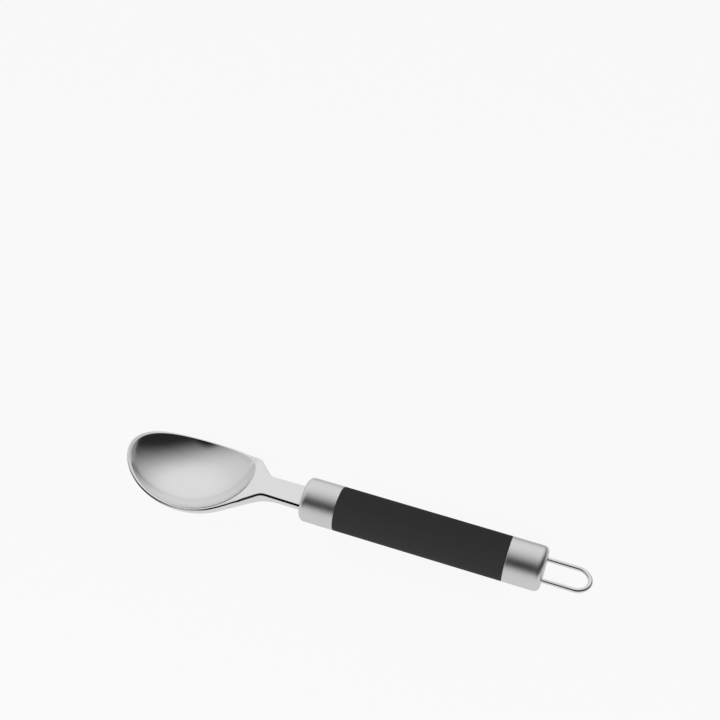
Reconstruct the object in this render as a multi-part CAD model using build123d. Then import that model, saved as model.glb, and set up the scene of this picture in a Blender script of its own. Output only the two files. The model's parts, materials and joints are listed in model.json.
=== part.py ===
from build123d import *
import math
import os

# A spade-type ice cream scoop: a one-piece steel head whose tang is clamped in a ribbed two-part core,
# with a sleeve, two steel ferrules and a wire hanging loop around it. Sizes are in millimetres.
# Every piece is built along the handle: X runs from the bowl to the loop, with zero at the front end of
# the grip sleeve, and Z is up. The whole tool is then tilted to lie as it does on a table.

# Handle outside
HANDLE_DIA = 23.0
GRIP_LENGTH = 88.2
FERRULE_LENGTH = 18.8
FERRULE_WALL = 1.0
FERRULE_END_WALL = 1.4
FERRULE_NOSE_RADIUS = 3.0
FERRULE_INNER_RADIUS = 1.2
FERRULE_LIP_RADIUS = 0.3
SLEEVE_WALL = 2.5
SLEEVE_CHAMFER = 0.25

# Bowl: a spheroid about an axis above the handle's, cut open along a rim that is an arc in side view.
# The inside is a shallower spheroid, given by its slope where it meets the rim at the bowl's widest place.
BOWL_SEMI_LENGTH = 35.9
BOWL_RADIUS = 29.0
BOWL_AXIS_HEIGHT = 6.4
BOWL_REACH = 62.3
BOWL_WALL = 1.4
RIM_RADIUS = 64.5
RIM_DIP = 6.4
RIM_BLEND_RADIUS = 10.0
RIM_INNER_ROUND = 0.2
RIM_BEVEL = 0.9
CAVITY_SLOPE = 42.0

# Neck and shank: a cone that leaves the bowl, runs out into a round shank and is cut to a waist
FLARE_ANGLE = 30.0
FLARE_ROUND = 34.0
SHANK_RADIUS = 10.9
SHANK_WIDTH = 15.1
WAIST_WIDTH = 14.3
WAIST_SETBACK = 2.1
WAIST_ROUND = 5.0
SHOULDER_ANGLE = 46.0
NECK_EDGE_ROUND = 1.5

# Tang
TANG_WIDTH = 10.0
TANG_THICKNESS = 3.2
TANG_LENGTH = 64.0
TANG_END_ROUND = 2.5

# Core halves and the pins through them
CORE_WALL = 2.2
RIB_THICKNESS = 2.0
RIB_PITCH = 13.0
PIN_DIA = 4.0
PIN_FIRST = 12.0
PIN_PITCH = 26.0
PIN_RECESS = 0.3
PIN_CHAMFER = 0.4
PIN_BOSS_WALL = 2.2

# End plug, seals and hanging loop
SEAL_THICKNESS = 1.2
SPIGOT_DIA = 9.2
SPIGOT_WALL = 1.5
SPIGOT_LENGTH = 8.0
SPIGOT_BEAD_HEIGHT = 0.35
SPIGOT_BEAD_WIDTH = 1.5
SPIGOT_SLOT = 1.6
WIRE_DIA = 2.4
LOOP_WIDTH = 14.2
LOOP_REACH = 24.0
LEG_HEAD_DIA = 3.8
LEG_HEAD_LENGTH = 1.2

# Clearances, and how far a cutting body runs past what it cuts
FIT_CLEARANCE = 0.05
SLOT_CLEARANCE = 0.1
HEAD_CLEARANCE = 0.2
CUT_MARGIN = 5.0
TOUCH_TOLERANCE = 0.001

# Radii and stations along the handle that several pieces share. The flare leaves the bowl's outline where
# both have the same slope, and its straight line comes down to the shank after the flare's run.
handle_radius = HANDLE_DIA / 2
ferrule_bore_radius = handle_radius - FERRULE_WALL
sleeve_bore_radius = handle_radius - SLEEVE_WALL
collar_radius = ferrule_bore_radius - FIT_CLEARANCE
barrel_radius = sleeve_bore_radius - FIT_CLEARANCE
seal_radius = ferrule_bore_radius - FERRULE_INNER_RADIUS
spigot_radius = SPIGOT_DIA / 2
front_face_x = -FERRULE_LENGTH
rear_face_x = GRIP_LENGTH + FERRULE_LENGTH
collar_x = front_face_x + FERRULE_END_WALL + SEAL_THICKNESS
plug_end_x = rear_face_x - FERRULE_END_WALL - SEAL_THICKNESS
spigot_x = GRIP_LENGTH - SPIGOT_LENGTH
bead_x = GRIP_LENGTH - SPIGOT_LENGTH / 2
bowl_x = front_face_x - BOWL_REACH
tang_end_x = collar_x + TANG_LENGTH
shank_top = TANG_THICKNESS / 2
flare_slope = math.tan(math.radians(FLARE_ANGLE))
flare_start = math.degrees(math.atan2(BOWL_RADIUS, BOWL_SEMI_LENGTH * flare_slope))
flare_run = (math.hypot(BOWL_RADIUS, BOWL_SEMI_LENGTH * flare_slope) - SHANK_RADIUS) / flare_slope
rim_half_width = math.sqrt(BOWL_RADIUS**2 - (BOWL_AXIS_HEIGHT + RIM_DIP) ** 2) - BOWL_WALL
rim_tip_z = RIM_RADIUS - RIM_DIP - math.sqrt(RIM_RADIUS**2 - BOWL_SEMI_LENGTH**2)
cavity_radius = rim_half_width / math.sin(math.radians(CAVITY_SLOPE))
cavity_height = rim_half_width / math.tan(math.radians(CAVITY_SLOPE)) - RIM_DIP
cavity_reach = BOWL_SEMI_LENGTH - BOWL_WALL
cavity_semi_length = cavity_reach / math.sqrt(1 - ((cavity_height - rim_tip_z) / cavity_radius) ** 2)
pin_xs = [PIN_FIRST, PIN_FIRST + PIN_PITCH]


def rod(radius, start_x, end_x):
    """Round bar along the handle between two stations."""
    bar = Cylinder(radius, end_x - start_x, align=(Align.CENTER, Align.CENTER, Align.MIN))
    return Pos(start_x, 0, 0) * Rot(0, 90, 0) * bar


def block(width, height, start_x, end_x):
    """Rectangular bar along the handle between two stations."""
    bar = Box(end_x - start_x, width, height, align=(Align.MIN, Align.CENTER, Align.CENTER))
    return Pos(start_x, 0, 0) * bar


def upright(radius, x):
    """Upright bar through the whole handle at one station."""
    return Pos(x, 0, 0) * Cylinder(radius, HANDLE_DIA)


def leg_pair(radius, start_x, end_x):
    """Two bars along the lines of the loop's legs."""
    return [Pos(0, side * LOOP_WIDTH / 2, 0) * rod(radius, start_x, end_x) for side in (-1, 1)]


def on_face(edge, face):
    """True where an edge lies on a face."""
    return all(face.distance_to(edge @ place) < TOUCH_TOLERANCE for place in (0.1, 0.5, 0.9))


def is_side_wall(face):
    """True for an upright face that looks to one side."""
    normal = face.normal_at()
    return abs(normal.Z) < TOUCH_TOLERANCE < abs(normal.Y)


def turned(lines, axis_height):
    """Solid of revolution about a line along the handle, from a profile drawn round the bowl's centre."""
    profile = Plane.XZ * make_face(lines)
    return Pos(bowl_x, 0, axis_height) * revolve(profile, Axis.X)


def head_blank():
    """Bowl, flared neck and round shank turned in one, still closed on top."""
    bowl = EllipticalCenterArc(
        (0, 0), BOWL_SEMI_LENGTH, BOWL_RADIUS, start_angle=flare_start, arc_size=180 - flare_start
    )
    end_x = collar_x - bowl_x
    neck = FilletPolyline(bowl @ 0, (flare_run, SHANK_RADIUS), (end_x, SHANK_RADIUS), radius=FLARE_ROUND)
    close = Polyline(neck @ 1, (end_x, 0), bowl @ 1)
    return turned([bowl, neck, close], BOWL_AXIS_HEIGHT)


def cavity():
    """Inside of the bowl, less deep than the outside and one wall in from it along the rim."""
    arc = EllipticalCenterArc((0, 0), cavity_semi_length, cavity_radius, start_angle=0, arc_size=180)
    return turned([arc, Line(arc @ 1, arc @ 0)], cavity_height)


def rim_cutter():
    """Everything above the rim line, which runs on level along the top of the neck and shank."""
    rim_z = RIM_RADIUS - RIM_DIP
    blend_z = shank_top - RIM_BLEND_RADIUS
    blend_x = math.sqrt((RIM_RADIUS + RIM_BLEND_RADIUS) ** 2 - (rim_z - blend_z) ** 2)
    turn = math.degrees(math.atan2(rim_z - blend_z, blend_x))
    rim = CenterArc((0, rim_z), RIM_RADIUS, 180, 180 - turn)
    blend = CenterArc((blend_x, blend_z), RIM_BLEND_RADIUS, 180 - turn, turn - 90)
    end_x = collar_x + CUT_MARGIN - bowl_x
    top = Polyline(blend @ 1, (end_x, shank_top), (end_x, rim_z), rim @ 0)
    profile = Plane.XZ * make_face([rim, blend, top])
    return Pos(bowl_x, 0, 0) * extrude(profile, amount=BOWL_RADIUS + CUT_MARGIN, both=True)


def neck_cutters():
    """What lies outside the neck's two sides, which run from the shoulders to a waist and along the shank."""
    waist_x = bowl_x + flare_run - WAIST_SETBACK
    waist_y = WAIST_WIDTH / 2
    outer_y = BOWL_RADIUS + CUT_MARGIN
    shoulder_run = (outer_y - waist_y) / math.tan(math.radians(SHOULDER_ANGLE))
    side = FilletPolyline(
        (waist_x - shoulder_run, outer_y),
        (waist_x, waist_y),
        (collar_x, SHANK_WIDTH / 2),
        radius=WAIST_ROUND,
    )
    plan = make_face([side, Polyline(side @ 1, (collar_x, outer_y), side @ 0)])
    cutter = extrude(plan, amount=BOWL_RADIUS + CUT_MARGIN, both=True)
    return [cutter, mirror(cutter, Plane.XZ)]


def tang():
    """Flat tang behind the shank, with a rounded end and the pin holes."""
    bar = block(TANG_WIDTH, TANG_THICKNESS, collar_x, tang_end_x)
    bar = fillet(bar.edges().filter_by(Axis.Z).sort_by(Axis.X)[-2:], TANG_END_ROUND)
    for x in pin_xs:
        bar -= upright(PIN_DIA / 2 + FIT_CLEARANCE, x)
    return bar


def scoop_head():
    """Bowl, neck, shank and tang as one forging."""
    blank = (head_blank() - neck_cutters()).solid()
    walls = [face for face in blank.faces() if is_side_wall(face)]
    edges = [edge for wall in walls for edge in wall.edges() if edge.geom_type != GeomType.LINE]
    head = (blank.fillet(NECK_EDGE_ROUND, edges) - cavity() - rim_cutter()).solid()
    top = head.faces().filter_by(Plane.XY).sort_by(Axis.Z)[-1]
    edges = [edge for edge in top.edges() if abs((edge @ 0.5).Y) > TANG_WIDTH / 2]
    head = head.chamfer(RIM_BEVEL, None, edges)
    bowl_floor = Vector(bowl_x, 0, cavity_height - cavity_radius)
    inside = min(head.faces(), key=lambda face: face.distance_to(bowl_floor))
    head = head.fillet(RIM_INNER_ROUND, [edge for edge in head.edges() if on_face(edge, inside)])
    return head + tang()


def ferrule():
    """Drawn cup, closed at X zero and open towards +X."""
    outline = Polyline(
        (0, 0),
        (0, handle_radius),
        (FERRULE_LENGTH, handle_radius),
        (FERRULE_LENGTH, ferrule_bore_radius),
        (FERRULE_END_WALL, ferrule_bore_radius),
        (FERRULE_END_WALL, 0),
        close=True,
    )
    profile = make_face(outline)
    rounds = [
        ((0, handle_radius), FERRULE_NOSE_RADIUS),
        ((FERRULE_LENGTH, handle_radius), FERRULE_LIP_RADIUS),
        ((FERRULE_END_WALL, ferrule_bore_radius), FERRULE_INNER_RADIUS),
    ]
    for place, radius in rounds:
        profile = fillet(profile.vertices().sort_by_distance(place)[0], radius)
    return revolve(profile, Axis.X)


def shank_slot():
    """Opening that the shank passes through, with clearance all round."""
    height = SHANK_RADIUS + shank_top
    section = Pos(0, shank_top - height / 2) * Rectangle(SHANK_WIDTH, height)
    section &= Pos(0, BOWL_AXIS_HEIGHT) * Circle(SHANK_RADIUS)
    section = fillet(section.vertices().group_by(Axis.Y)[0], NECK_EDGE_ROUND)
    section = chamfer(section.vertices().group_by(Axis.Y)[-1], RIM_BEVEL)
    section = offset(section, SLOT_CLEARANCE)
    start = Plane.YZ.offset(front_face_x - CUT_MARGIN)
    return extrude(start * section, amount=collar_x - front_face_x + CUT_MARGIN)


def front_ferrule():
    """Front cup, slotted for the shank."""
    return Pos(front_face_x, 0, 0) * ferrule() - shank_slot()


def shank_seal():
    """Gasket between the front cup's end wall and the core, around the shank."""
    return rod(seal_radius, front_face_x + FERRULE_END_WALL, collar_x) - shank_slot()


def core():
    """Both core halves in one: a collar in the front cup and a ribbed barrel in the sleeve."""
    collar = rod(collar_radius, collar_x, 0)
    collar = chamfer(collar.edges().sort_by(Axis.X)[0], FERRULE_INNER_RADIUS)
    barrel = rod(barrel_radius, 0, GRIP_LENGTH)
    hollow_length = spigot_x - RIB_THICKNESS
    bays = int(hollow_length // RIB_PITCH)
    pitch = hollow_length / bays
    body = collar + barrel
    for bay in range(bays):
        start = bay * pitch + RIB_THICKNESS / 2
        body -= rod(barrel_radius - CORE_WALL, start, start + pitch - RIB_THICKNESS)
    for x in pin_xs:
        body += upright(PIN_DIA / 2 + PIN_BOSS_WALL, x) & barrel
        body -= upright(PIN_DIA / 2 + FIT_CLEARANCE, x)
    gap = 2 * SLOT_CLEARANCE
    body -= block(TANG_WIDTH + gap, TANG_THICKNESS + gap, collar_x - CUT_MARGIN, tang_end_x + gap)
    body -= rod(spigot_radius + FIT_CLEARANCE, spigot_x - HEAD_CLEARANCE, GRIP_LENGTH + CUT_MARGIN)
    groove = SPIGOT_BEAD_WIDTH / 2 + FIT_CLEARANCE
    body -= rod(spigot_radius + SPIGOT_BEAD_HEIGHT + FIT_CLEARANCE, bead_x - groove, bead_x + groove)
    return body


def core_half(side):
    """Upper half of the core for side 1, lower half for side -1."""
    half = block(HANDLE_DIA, handle_radius, front_face_x, rear_face_x)
    return core() & Pos(0, 0, side * handle_radius / 2) * half


def tang_pins():
    """Dowels that lock both core halves to the tang, hidden under the sleeve."""
    radius = PIN_DIA / 2
    length = 2 * (math.sqrt(barrel_radius**2 - radius**2) - PIN_RECESS)
    pin = Cylinder(radius, length)
    pin = chamfer(pin.edges().filter_by(GeomType.CIRCLE), PIN_CHAMFER)
    return Compound([Pos(x, 0, 0) * pin.solid() for x in pin_xs])


def grip_sleeve():
    """Sleeve between the two cups."""
    tube = rod(handle_radius, 0, GRIP_LENGTH) - rod(sleeve_bore_radius, 0, GRIP_LENGTH)
    rims = tube.edges().filter_by(GeomType.CIRCLE).group_by(SortBy.RADIUS)[-1]
    return chamfer(rims, SLEEVE_CHAMFER)


def end_plug():
    """Plug in the rear cup that carries the loop, with a split spigot that snaps into the core."""
    body = rod(collar_radius, GRIP_LENGTH, plug_end_x)
    body = chamfer(body.edges().sort_by(Axis.X)[-1], FERRULE_INNER_RADIUS)
    half_bead = SPIGOT_BEAD_WIDTH / 2
    body += rod(spigot_radius, spigot_x, GRIP_LENGTH)
    body += rod(spigot_radius + SPIGOT_BEAD_HEIGHT, bead_x - half_bead, bead_x + half_bead)
    body -= rod(spigot_radius - SPIGOT_WALL, spigot_x, plug_end_x - RIB_THICKNESS)
    body -= block(HANDLE_DIA, SPIGOT_SLOT, spigot_x, GRIP_LENGTH)
    body -= leg_pair(WIRE_DIA / 2 + FIT_CLEARANCE, GRIP_LENGTH, plug_end_x)
    recess_x = GRIP_LENGTH + HEAD_CLEARANCE + LEG_HEAD_LENGTH
    body -= leg_pair(LEG_HEAD_DIA / 2 + HEAD_CLEARANCE, GRIP_LENGTH, recess_x)
    return body


def loop_seal():
    """Gasket between the rear cup's end wall and the end plug, around the loop's legs."""
    start_x = plug_end_x
    end_x = plug_end_x + SEAL_THICKNESS
    return rod(seal_radius, start_x, end_x) - leg_pair(WIRE_DIA / 2 + FIT_CLEARANCE, start_x, end_x)


def rear_ferrule():
    """Rear cup, drilled for the loop's legs."""
    cup = Pos(rear_face_x, 0, 0) * Rot(0, 0, 180) * ferrule()
    return cup - leg_pair(WIRE_DIA / 2 + FIT_CLEARANCE, plug_end_x, rear_face_x + CUT_MARGIN)


def hanging_loop():
    """Bent wire whose legs end in upset heads inside the end plug."""
    half_width = LOOP_WIDTH / 2
    seat_x = GRIP_LENGTH + HEAD_CLEARANCE + LEG_HEAD_LENGTH
    bend_x = rear_face_x + LOOP_REACH - WIRE_DIA / 2 - half_width
    leg = Line((seat_x, -half_width), (bend_x, -half_width))
    bend = CenterArc((bend_x, 0), half_width, -90, 180)
    other_leg = Line((bend_x, half_width), (seat_x, half_width))
    start = Plane(origin=leg @ 0, z_dir=leg % 0)
    wire = sweep(start * Circle(WIRE_DIA / 2), path=Wire([leg, bend, other_leg]))
    return wire + leg_pair(LEG_HEAD_DIA / 2, seat_x - LEG_HEAD_LENGTH, seat_x)


def rest_tilt():
    """Turn about Y that brings the bowl and the rear cup's nose down onto one table top."""
    nose_x = rear_face_x - FERRULE_NOSE_RADIUS
    nose_z = FERRULE_NOSE_RADIUS - handle_radius
    span = math.hypot(nose_x - bowl_x, BOWL_AXIS_HEIGHT - nose_z)
    slope = math.atan2(BOWL_AXIS_HEIGHT - nose_z, nose_x - bowl_x)
    tilt = 0.0
    for _ in range(5):
        belly = math.hypot(BOWL_SEMI_LENGTH * math.sin(tilt), BOWL_RADIUS * math.cos(tilt))
        tilt = math.asin((belly - FERRULE_NOSE_RADIUS) / span) - slope
    return math.degrees(tilt)


pieces = {
    "scoop_head": scoop_head(),
    "front_ferrule": front_ferrule(),
    "shank_seal": shank_seal(),
    "core_upper": core_half(1),
    "core_lower": core_half(-1),
    "tang_pins": tang_pins(),
    "grip_sleeve": grip_sleeve(),
    "end_plug": end_plug(),
    "loop_seal": loop_seal(),
    "rear_ferrule": rear_ferrule(),
    "hanging_loop": hanging_loop(),
}

# Lay the tool down, and put the origin under the middle of it
tilted = {name: Rot(0, rest_tilt(), 0) * piece for name, piece in pieces.items()}
box = Compound([piece for piece in tilted.values()]).bounding_box()
place = Pos(-box.center().X, 0, -box.min.Z)

os.makedirs("parts", exist_ok=True)
for name, piece in tilted.items():
    export_step(place * piece, f"parts/{name}.step")
print(f"tilt {rest_tilt():.3f} degrees, overall {box.size.X:.1f} x {box.size.Y:.1f} x {box.size.Z:.1f} mm")
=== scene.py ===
import bpy
import json
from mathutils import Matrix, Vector


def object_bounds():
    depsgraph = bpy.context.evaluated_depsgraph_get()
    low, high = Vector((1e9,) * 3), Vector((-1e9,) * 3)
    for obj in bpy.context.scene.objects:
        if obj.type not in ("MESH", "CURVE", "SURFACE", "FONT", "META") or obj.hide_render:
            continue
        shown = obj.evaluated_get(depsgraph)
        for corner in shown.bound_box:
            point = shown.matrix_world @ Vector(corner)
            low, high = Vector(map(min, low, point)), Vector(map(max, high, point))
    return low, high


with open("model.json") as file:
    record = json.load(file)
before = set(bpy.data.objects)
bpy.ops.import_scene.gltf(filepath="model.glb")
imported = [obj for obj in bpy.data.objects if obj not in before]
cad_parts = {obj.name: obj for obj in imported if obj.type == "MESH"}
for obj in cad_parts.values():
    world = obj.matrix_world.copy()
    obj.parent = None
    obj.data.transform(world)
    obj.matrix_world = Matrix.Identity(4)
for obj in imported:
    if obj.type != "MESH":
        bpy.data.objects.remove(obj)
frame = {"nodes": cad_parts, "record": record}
nodes = frame["nodes"]
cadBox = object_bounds()
gripMount = next(mount for mount in frame["record"]["mounts"] if mount["name"] == "grip")
handleAxis = tuple(gripMount["axis"])       # from the bowl towards the hanging loop
print("frame loaded:", len(nodes), "nodes")


# small helpers for shader trees
def addNode(tree, kind, **values):
    node = tree.nodes.new("ShaderNode" + kind)
    for name, value in values.items():
        if hasattr(node, name):
            setattr(node, name, value)
        else:
            node.inputs[name].default_value = value
    return node


def wire(tree, fromNode, fromSocket, toNode, toSocket):
    tree.links.new(fromNode.outputs[fromSocket], toNode.inputs[toSocket])


def freshTree(owner):
    owner.use_nodes = True
    owner.node_tree.nodes.clear()
    return owner.node_tree


def ramp(tree, span, ends, curve="LINEAR"):
    node = addNode(tree, "MapRange", interpolation_type=curve)
    for name, value in zip(("From Min", "From Max", "To Min", "To Max"), span + ends):
        node.inputs[name].default_value = value
    return node


# a value that changes smoothly along a direction
def towards(tree, way, direction, span, ends, output="Generated"):
    along = addNode(tree, "VectorMath", operation="DOT_PRODUCT")
    along.inputs[1].default_value = direction
    rise = ramp(tree, span, ends, "SMOOTHSTEP")
    wire(tree, way, output, along, 0)
    wire(tree, along, "Value", rise, "Value")
    return rise


def place(thing, location, aim):
    bpy.context.scene.collection.objects.link(thing)
    thing.location = location
    line = Vector(aim) - thing.location
    thing.rotation_euler = line.to_track_quat("-Z", "Y").to_euler()


# camera, placed from the outline of the photo, in metres
cameraSpot = {
    "location": (0.152555, -0.42493, 0.487358),
    "aim": (-0.03899, 0.12256, 0.01189),
    "lens": 63.83,
    "sensor": 36.0,
}


def placeCamera(spot):
    data = bpy.data.cameras.new("camera")
    data.lens = spot["lens"]
    data.sensor_width = spot["sensor"]
    camera = bpy.data.objects.new("camera", data)
    place(camera, spot["location"], spot["aim"])
    bpy.context.scene.camera = camera


placeCamera(cameraSpot)
bpy.context.scene.view_settings.view_transform = "Standard"
print("camera placed")

# studio: a pale room, brightest behind the object, that falls off to a dark corner on the camera's right
room = {
    "background": 0.947,                      # what the camera sees, the rest is for light and reflections
    "pale": 0.66,
    "palest": 0.80,
    "backWay": (-0.22, 0.64, 0.736),
    "backRise": (0.55, 1.0),
    "dark": 0.021,
    "darkWay": (0.4677, -0.6191, -0.6308),
    "fallOff": (-0.79, 0.079),
    "bandWay": (-0.08, -0.81, 0.58),          # dark band above the camera's side, for edges and ferrules
    "bandFall": (0.88, 0.975),
    "fillWay": (-0.15, -0.985, 0.02),         # low fill below that band
    "fillRise": (0.92, 1.0),
}


def buildRoom(look):
    world = bpy.data.worlds.new("studio")
    bpy.context.scene.world = world
    tree = freshTree(world)
    way = addNode(tree, "TexCoord")
    back = towards(tree, way, look["backWay"], look["backRise"], (look["pale"], look["palest"]))
    fall = towards(tree, way, look["darkWay"], look["fallOff"], (look["pale"], look["dark"]))
    band = towards(tree, way, look["bandWay"], look["bandFall"], (1.0, 0.0))
    fill = towards(tree, way, look["fillWay"], look["fillRise"], (0.0, look["pale"]))
    banded = addNode(tree, "Math", operation="MULTIPLY")
    filled = addNode(tree, "Math", operation="MAXIMUM")
    rays = addNode(tree, "LightPath")
    seen = addNode(tree, "Mix", data_type="FLOAT")
    seen.inputs["B"].default_value = look["background"]
    glow = addNode(tree, "Background", Color=(1, 1, 1, 1))
    out = addNode(tree, "OutputWorld")
    wire(tree, back, "Result", fall, "To Min")
    wire(tree, fall, "Result", banded, 0)
    wire(tree, band, "Result", banded, 1)
    wire(tree, banded, 0, filled, 0)
    wire(tree, fill, "Result", filled, 1)
    wire(tree, rays, "Is Camera Ray", seen, "Factor")
    wire(tree, filled, 0, seen, "A")
    wire(tree, seen, "Result", glow, "Strength")
    wire(tree, glow, "Background", out, "Surface")


buildRoom(room)

# floor: pale, lifted for the camera so that only a soft shadow is left
table = {
    "size": 6.0,
    "gap": 0.0001,                            # keeps the floor just clear of the object
    "color": (0.90, 0.90, 0.90, 1),
    "lift": 0.94,
    "background": 0.97,
    "mirrored": 0.72,                         # how bright reflections see it
    "shaded": 0.26,                           # and how bright behind the handle
    "shadeWay": (0.45, 0.893, 0.0),
    "shadeStart": (0.075, 0.14),
}


def layTable(look):
    half = look["size"] / 2
    corners = [(-half, -half, 0), (half, -half, 0), (half, half, 0), (-half, half, 0)]
    mesh = bpy.data.meshes.new("floor")
    mesh.from_pydata(corners, [], [(0, 1, 2, 3)])
    floor = bpy.data.objects.new("floor", mesh)
    bpy.context.scene.collection.objects.link(floor)
    floor.location.z = cadBox[0][2] - look["gap"]
    material = bpy.data.materials.new("floor")
    tree = freshTree(material)
    matte = addNode(tree, "BsdfDiffuse", Color=look["color"])
    shown = addNode(tree, "Emission", Strength=look["background"])
    mirrored = addNode(tree, "Emission")
    spot = addNode(tree, "TexCoord")
    ends = (look["mirrored"], look["shaded"])
    shade = towards(tree, spot, look["shadeWay"], look["shadeStart"], ends, "Object")
    rays = addNode(tree, "LightPath")
    lift = addNode(tree, "Math", operation="MULTIPLY")
    lift.inputs[1].default_value = look["lift"]
    forCamera = addNode(tree, "MixShader")
    forGloss = addNode(tree, "MixShader")
    out = addNode(tree, "OutputMaterial")
    wire(tree, rays, "Is Camera Ray", lift, 0)
    wire(tree, lift, 0, forCamera, 0)
    wire(tree, matte, 0, forCamera, 1)
    wire(tree, shown, 0, forCamera, 2)
    wire(tree, shade, "Result", mirrored, "Strength")
    wire(tree, rays, "Is Glossy Ray", forGloss, 0)
    wire(tree, forCamera, 0, forGloss, 1)
    wire(tree, mirrored, 0, forGloss, 2)
    wire(tree, forGloss, 0, out, "Surface")
    mesh.materials.append(material)


layTable(table)

# one soft lamp in front, clear of the floor, which only fills matte surfaces
softLamp = {"size": 0.9, "power": 9.8, "location": (0.05, -1.0, 0.54), "aim": (0.0, 0.0, 0.0)}


def hangLamp(look):
    data = bpy.data.lights.new("softLamp", "AREA")
    data.shape = "SQUARE"
    data.size = look["size"]
    data.energy = look["power"]
    lamp = bpy.data.objects.new("softLamp", data)
    place(lamp, look["location"], look["aim"])
    lamp.visible_camera = False
    lamp.visible_glossy = False


hangLamp(softLamp)
print("studio lit")

# finishes, each from noise laid over the piece
noiseSpan = (0.3, 0.7)                      # most of a noise's values lie between these
mixColorA, mixColorB, mixColorOut = 6, 7, 2     # sockets of a colour mix


def startFinish(name):
    material = bpy.data.materials.new(name)
    tree = freshTree(material)
    shader = addNode(tree, "BsdfPrincipled")
    out = addNode(tree, "OutputMaterial")
    wire(tree, shader, "BSDF", out, "Surface")
    spot = addNode(tree, "TexCoord")
    return material, tree, shader, spot


def noiseOver(tree, spot, scale, detail):
    noise = addNode(tree, "TexNoise", Scale=scale, Detail=detail)
    wire(tree, spot, "Object", noise, "Vector")
    return noise


def shadeColor(tree, shader, pattern, look):
    color, spread = look["color"], look["spread"]
    mix = addNode(tree, "Mix", data_type="RGBA")
    mix.inputs[mixColorA].default_value = tuple(c * (1 - spread) for c in color) + (1,)
    mix.inputs[mixColorB].default_value = tuple(min(1, c * (1 + spread)) for c in color) + (1,)
    wire(tree, pattern, 0, mix, 0)
    wire(tree, mix, mixColorOut, shader, "Base Color")


def spreadRoughness(tree, shader, pattern, look):
    span = ramp(tree, noiseSpan, look["roughness"])
    wire(tree, pattern, 0, span, "Value")
    wire(tree, span, "Result", shader, "Roughness")


def addRelief(tree, shader, pattern, look):
    bump = addNode(tree, "Bump", Strength=look["relief"], Distance=look["depth"])
    wire(tree, pattern, 0, bump, "Height")
    wire(tree, bump, "Normal", shader, "Normal")
    return bump


polish = {
    "color": (0.88, 0.88, 0.88),
    "spread": 0.02,
    "roughness": (0.09, 0.13),
    "edge": 0.0003,
    "edgeSamples": 8,
    "smudgeScale": 45.0,
    "smudgeDetail": 4.0,
    "hairScale": 900.0,
    "hairDetail": 2.0,
    "relief": 0.3,
    "depth": 0.000004,
}


def polishedSteel(name, look):
    material, tree, shader, spot = startFinish(name)
    shader.inputs["Metallic"].default_value = 1.0
    smudge = noiseOver(tree, spot, look["smudgeScale"], look["smudgeDetail"])
    hair = noiseOver(tree, spot, look["hairScale"], look["hairDetail"])
    bump = addRelief(tree, shader, hair, look)
    if look["edge"]:                        # buffed edges
        edge = addNode(tree, "Bevel", samples=look["edgeSamples"], Radius=look["edge"])
        wire(tree, edge, "Normal", bump, "Normal")
    shadeColor(tree, shader, smudge, look)
    spreadRoughness(tree, shader, smudge, look)
    return material


drawnWire = {**polish, "roughness": (0.03, 0.06), "edge": 0.0}      # smoother, for the hanging loop

satin = {
    "color": (0.83, 0.83, 0.83),
    "spread": 0.03,
    "roughness": (0.34, 0.42),
    "lineScale": 5200.0,                    # turning lines round the ferrules
    "lineDetail": 3.0,
    "smudgeScale": 120.0,
    "smudgeDetail": 3.0,
    "relief": 0.25,
    "depth": 0.000006,
}


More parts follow.
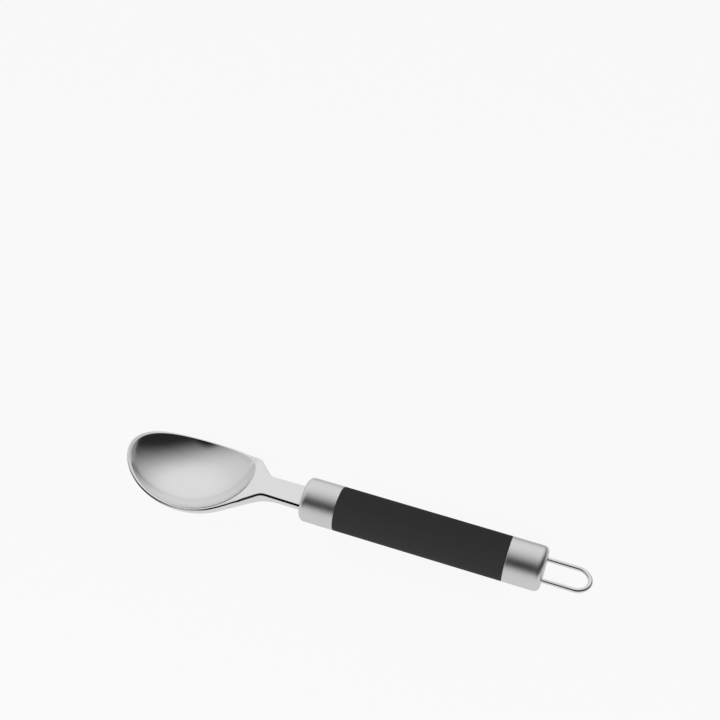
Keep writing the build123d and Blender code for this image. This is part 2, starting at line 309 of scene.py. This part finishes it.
def satinSteel(name, look):
    material, tree, shader, spot = startFinish(name)
    shader.inputs["Metallic"].default_value = 1.0
    along = addNode(tree, "VectorMath", operation="DOT_PRODUCT")
    along.inputs[1].default_value = handleAxis
    lines = addNode(tree, "TexNoise", noise_dimensions="1D")
    lines.inputs["Scale"].default_value = look["lineScale"]
    lines.inputs["Detail"].default_value = look["lineDetail"]
    wire(tree, spot, "Object", along, 0)
    wire(tree, along, "Value", lines, "W")
    smudge = noiseOver(tree, spot, look["smudgeScale"], look["smudgeDetail"])
    addRelief(tree, shader, lines, look)
    shadeColor(tree, shader, lines, look)
    spreadRoughness(tree, shader, smudge, look)
    return material


grip = {
    "color": (0.030, 0.030, 0.030),
    "spread": 0.10,
    "roughness": (0.66, 0.74),
    "specular": 0.15,
    "grainScale": 2600.0,
    "cloudScale": 130.0,
    "cloudDetail": 4.0,
    "relief": 0.4,
    "depth": 0.00004,
}


def matteGrip(name, look):
    material, tree, shader, spot = startFinish(name)
    shader.inputs["Specular IOR Level"].default_value = look["specular"]
    grain = addNode(tree, "TexVoronoi", Scale=look["grainScale"])
    wire(tree, spot, "Object", grain, "Vector")
    cloud = noiseOver(tree, spot, look["cloudScale"], look["cloudDetail"])
    addRelief(tree, shader, grain, look)
    shadeColor(tree, shader, cloud, look)
    spreadRoughness(tree, shader, cloud, look)
    return material


corePlastic = {
    "color": (0.25, 0.25, 0.26),
    "spread": 0.05,
    "roughness": (0.45, 0.6),
    "grainScale": 900.0,
    "grainDetail": 3.0,
    "relief": 0.2,
    "depth": 0.00003,
}
sealRubber = {
    **corePlastic,
    "color": (0.04, 0.04, 0.04),
    "spread": 0.15,
    "roughness": (0.7, 0.85),
    "grainScale": 1500.0,
}


def moulded(name, look):
    material, tree, shader, spot = startFinish(name)
    grain = noiseOver(tree, spot, look["grainScale"], look["grainDetail"])
    addRelief(tree, shader, grain, look)
    shadeColor(tree, shader, grain, look)
    spreadRoughness(tree, shader, grain, look)
    return material


finishes = {
    "polished_steel": polishedSteel("polishedSteel", polish),
    "satin_steel": satinSteel("satinSteel", satin),
    "grip_plastic": matteGrip("matteGrip", grip),
    "core_plastic": moulded("corePlastic", corePlastic),
    "seal_rubber": moulded("sealRubber", sealRubber),
}
for part in frame["record"]["subparts"]:
    slots = nodes[part["node"]].data.materials
    slots.clear()
    slots.append(finishes[part["material_slot"]])
nodes["hanging_loop"].data.materials[0] = polishedSteel("drawnWire", drawnWire)
